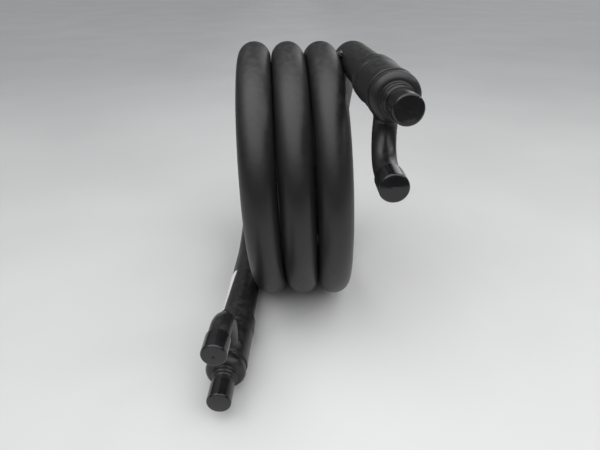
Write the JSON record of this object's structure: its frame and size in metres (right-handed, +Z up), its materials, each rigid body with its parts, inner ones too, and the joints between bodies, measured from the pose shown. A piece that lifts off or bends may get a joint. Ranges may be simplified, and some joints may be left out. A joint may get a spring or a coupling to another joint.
{
  "type": "coaxial heat exchanger coil",
  "caption": "Tube-in-tube heat-exchanger coil: a black upright winding of thick tube with capped straight and branch connections at both ends.",
  "frame": {"origin": "on the floor, below the middle of the whole part's box", "axes": "+Z up; the winding axis lies along X; both ends run straight out along -Y, the lower one towards -X and the upper one towards +X"},
  "size_m": [0.1926, 0.4146, 0.316],
  "materials": {
    "black_tube": "satin black enamel on steel tube",
    "black_header": "satin black enamel on steel pipe",
    "black_stub": "satin black enamel on copper tube",
    "painted_braze": "satin black enamel over braze, slightly rough",
    "tack_braze": "thinly painted braze, partly bright",
    "copper": "drawn copper",
    "filler": "silver braze",
    "cap_vinyl": "glossy black dipped vinyl",
    "label_film": "matt white label stock, blank"
  },
  "bodies": {
    "exchanger": {"outer_coil_tube": "black_tube", "inner_water_tube": "copper", "turn_tacks": "tack_braze", "blank_label": "label_film", "upper_header_weld": "painted_braze", "upper_header": "black_header", "upper_bell_braze": "painted_braze", "upper_end_bell": "black_header", "upper_stub_braze": "painted_braze", "upper_water_stub": "black_stub", "upper_socket_braze": "filler", "upper_branch_braze": "painted_braze", "upper_branch_tube": "black_stub", "lower_header_weld": "painted_braze", "lower_header": "black_header", "lower_bell_braze": "painted_braze", "lower_end_bell": "black_header", "lower_stub_braze": "painted_braze", "lower_water_stub": "black_stub", "lower_socket_braze": "filler", "lower_branch_braze": "painted_braze", "lower_branch_tube": "black_stub"},
    "upper_water_cap_body": {"upper_water_cap": "cap_vinyl"},
    "upper_branch_cap_body": {"upper_branch_cap": "cap_vinyl"},
    "lower_water_cap_body": {"lower_water_cap": "cap_vinyl"},
    "lower_branch_cap_body": {"lower_branch_cap": "cap_vinyl"}
  },
  "joints": [
    {"name": "upper_water_cap_pull", "type": "slide", "parent": "exchanger", "child": "upper_water_cap_body", "axis": [0.0436, -0.9988, 0.0217], "range_m": [0, 0.1]},
    {"name": "upper_branch_cap_pull", "type": "slide", "parent": "exchanger", "child": "upper_branch_cap_body", "axis": [-0.0087, -0.9997, 0.0245], "range_m": [0, 0.1]},
    {"name": "lower_water_cap_pull", "type": "slide", "parent": "exchanger", "child": "lower_water_cap_body", "axis": [-0.0436, -0.9988, 0.0217], "range_m": [0, 0.1]},
    {"name": "lower_branch_cap_pull", "type": "slide", "parent": "exchanger", "child": "lower_branch_cap_body", "axis": [-0.0436, -0.9988, 0.0217], "range_m": [0, 0.1]}
  ]
}
